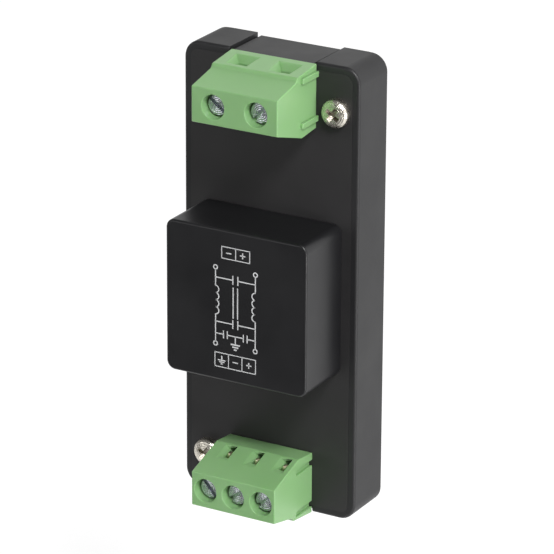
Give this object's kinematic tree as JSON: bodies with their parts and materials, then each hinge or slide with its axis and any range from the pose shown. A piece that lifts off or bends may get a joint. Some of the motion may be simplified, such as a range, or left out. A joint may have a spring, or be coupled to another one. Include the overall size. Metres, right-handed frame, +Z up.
{
  "type": "rail-mounted emi line filter",
  "caption": "Potted line filter module on a slim black rail-mount base, with green rising-clamp screw terminals at both ends and a sprung clip for a 35 mm rail.",
  "frame": {"origin": "centre of the rail seat: the rail's front face is y = 0 and its centre line z = 0", "axes": "+Z up along the unit's height, +X along the rail to the right as seen from the front, +Y out of the back into the rail; the front faces -Y"},
  "size_m": [0.0316, 0.0258, 0.076],
  "materials": {
    "tray_plastic": "moulded black plastic, fine matt texture",
    "solder_mask": "matt black solder mask over glass laminate",
    "case_plastic": "satin black moulded plastic",
    "clip_plastic": "moulded black plastic",
    "potting_resin": "cast black epoxy",
    "glass_laminate": "green circuit board",
    "ferrite": "coated ferrite",
    "copper_wire": "enamelled copper wire",
    "capacitor_ceramic": "ceramic with tinned ends",
    "tinned_pin": "tinned pin",
    "green_polyamide": "satin green polyamide",
    "zinc_screw": "zinc-plated steel",
    "nickel_steel": "nickel-plated steel",
    "brass_cage": "pressed brass",
    "brass_contact": "pressed brass",
    "spring_steel": "spring wire"
  },
  "bodies": {
    "base": {"base_tray": "tray_plastic", "circuit_board": "solder_mask", "board_screw_upper": "nickel_steel", "board_screw_lower": "nickel_steel", "filter_case": "case_plastic", "filter_potting": "potting_resin", "filter_board": "glass_laminate", "choke_core": "ferrite", "choke_winding_left": "copper_wire", "choke_winding_right": "copper_wire", "line_capacitor": "capacitor_ceramic", "load_capacitor": "capacitor_ceramic", "earth_capacitor_lower": "capacitor_ceramic", "earth_capacitor_upper": "capacitor_ceramic", "load_terminal_housing": "green_polyamide", "line_terminal_housing": "green_polyamide", "rail_clip": "clip_plastic", "clip_screw_upper": "nickel_steel", "clip_screw_lower": "nickel_steel", "latch_spring": "spring_steel", "filter_pin_1": "tinned_pin", "filter_pin_2": "tinned_pin", "filter_pin_3": "tinned_pin", "filter_pin_4": "tinned_pin", "filter_pin_5": "tinned_pin", "load_contact_1": "brass_contact", "load_contact_2": "brass_contact", "line_contact_1": "brass_contact", "line_contact_2": "brass_contact", "line_contact_3": "brass_contact"},
    "load_screw_1": {"load_clamp_screw_1": "zinc_screw"},
    "load_cage_1": {"load_clamp_cage_1": "brass_cage"},
    "load_screw_2": {"load_clamp_screw_2": "zinc_screw"},
    "load_cage_2": {"load_clamp_cage_2": "brass_cage"},
    "line_screw_1": {"line_clamp_screw_1": "zinc_screw"},
    "line_cage_1": {"line_clamp_cage_1": "brass_cage"},
    "line_screw_2": {"line_clamp_screw_2": "zinc_screw"},
    "line_cage_2": {"line_clamp_cage_2": "brass_cage"},
    "line_screw_3": {"line_clamp_screw_3": "zinc_screw"},
    "line_cage_3": {"line_clamp_cage_3": "brass_cage"},
    "latch": {"rail_latch": "clip_plastic"}
  },
  "joints": [
    {"name": "load_screw_turn_1", "type": "hinge", "parent": "base", "child": "load_screw_1", "pos_m": [-0.00326, -0.0228, 0.03105], "axis": [0, 1, 0], "range_deg": [0, 1440.1]},
    {"name": "load_cage_lift_1", "type": "slide", "parent": "base", "child": "load_cage_1", "axis": [0, -1, 0], "range_m": [0, 0.0018]},
    {"name": "load_screw_turn_2", "type": "hinge", "parent": "base", "child": "load_screw_2", "pos_m": [0.00436, -0.0228, 0.03105], "axis": [0, 1, 0], "range_deg": [0, 1440.1]},
    {"name": "load_cage_lift_2", "type": "slide", "parent": "base", "child": "load_cage_2", "axis": [0, -1, 0], "range_m": [0, 0.0018]},
    {"name": "line_screw_turn_1", "type": "hinge", "parent": "base", "child": "line_screw_1", "pos_m": [-0.00468, -0.0228, -0.03365], "axis": [0, 1, 0], "range_deg": [0, 1440.1]},
    {"name": "line_cage_lift_1", "type": "slide", "parent": "base", "child": "line_cage_1", "axis": [0, -1, 0], "range_m": [0, 0.0018]},
    {"name": "line_screw_turn_2", "type": "hinge", "parent": "base", "child": "line_screw_2", "pos_m": [0.0004, -0.0228, -0.03365], "axis": [0, 1, 0], "range_deg": [0, 1440.1]},
    {"name": "line_cage_lift_2", "type": "slide", "parent": "base", "child": "line_cage_2", "axis": [0, -1, 0], "range_m": [0, 0.0018]},
    {"name": "line_screw_turn_3", "type": "hinge", "parent": "base", "child": "line_screw_3", "pos_m": [0.00548, -0.0228, -0.03365], "axis": [0, 1, 0], "range_deg": [0, 1440.1]},
    {"name": "line_cage_lift_3", "type": "slide", "parent": "base", "child": "line_cage_3", "axis": [0, -1, 0], "range_m": [0, 0.0018]},
    {"name": "latch_pull", "type": "slide", "parent": "base", "child": "latch", "axis": [0, 0, -1], "range_m": [0, 0.003], "stiffness_N_per_m": 250, "springref_m": -0.006, "deforming": ["latch_spring"]}
  ],
  "couplings": [
    {"joint": "load_screw_turn_1", "follows": "load_cage_lift_1", "rad_per_m": 13963},
    {"joint": "load_screw_turn_2", "follows": "load_cage_lift_2", "rad_per_m": 13963},
    {"joint": "line_screw_turn_1", "follows": "line_cage_lift_1", "rad_per_m": 13963},
    {"joint": "line_screw_turn_2", "follows": "line_cage_lift_2", "rad_per_m": 13963},
    {"joint": "line_screw_turn_3", "follows": "line_cage_lift_3", "rad_per_m": 13963}
  ]
}
